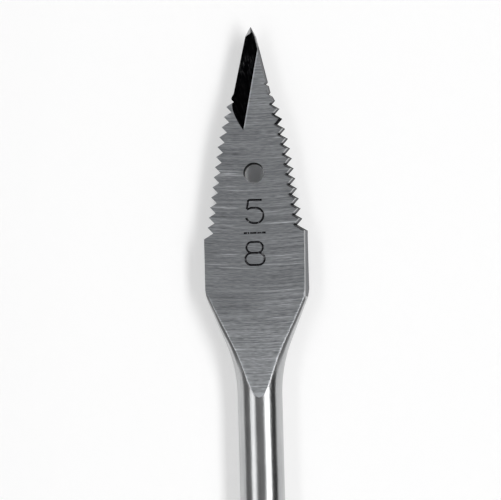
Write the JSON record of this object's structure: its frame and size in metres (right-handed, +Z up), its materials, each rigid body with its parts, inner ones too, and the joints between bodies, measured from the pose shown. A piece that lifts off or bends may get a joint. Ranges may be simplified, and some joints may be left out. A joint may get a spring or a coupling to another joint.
{
  "type": "spade drill bit",
  "caption": "Flat steel spade bit for boring wood, with a fluted point, tapered toothed edges that feed it in, a pull hole, a round shank and a hexagonal end.",
  "frame": {"origin": "on the surface that the shank lies on, below the middle of the bit's length and width", "axes": "+Y along the bit towards the tip, +Z up out of the marked face, X across the blade"},
  "size_m": [0.0158, 0.1524, 0.0069],
  "materials": {
    "steel": "faces ground across the axis, flutes finely ground, shank satin"
  },
  "bodies": {
    "root": {"spade_bit": "steel"}
  },
  "joints": []
}
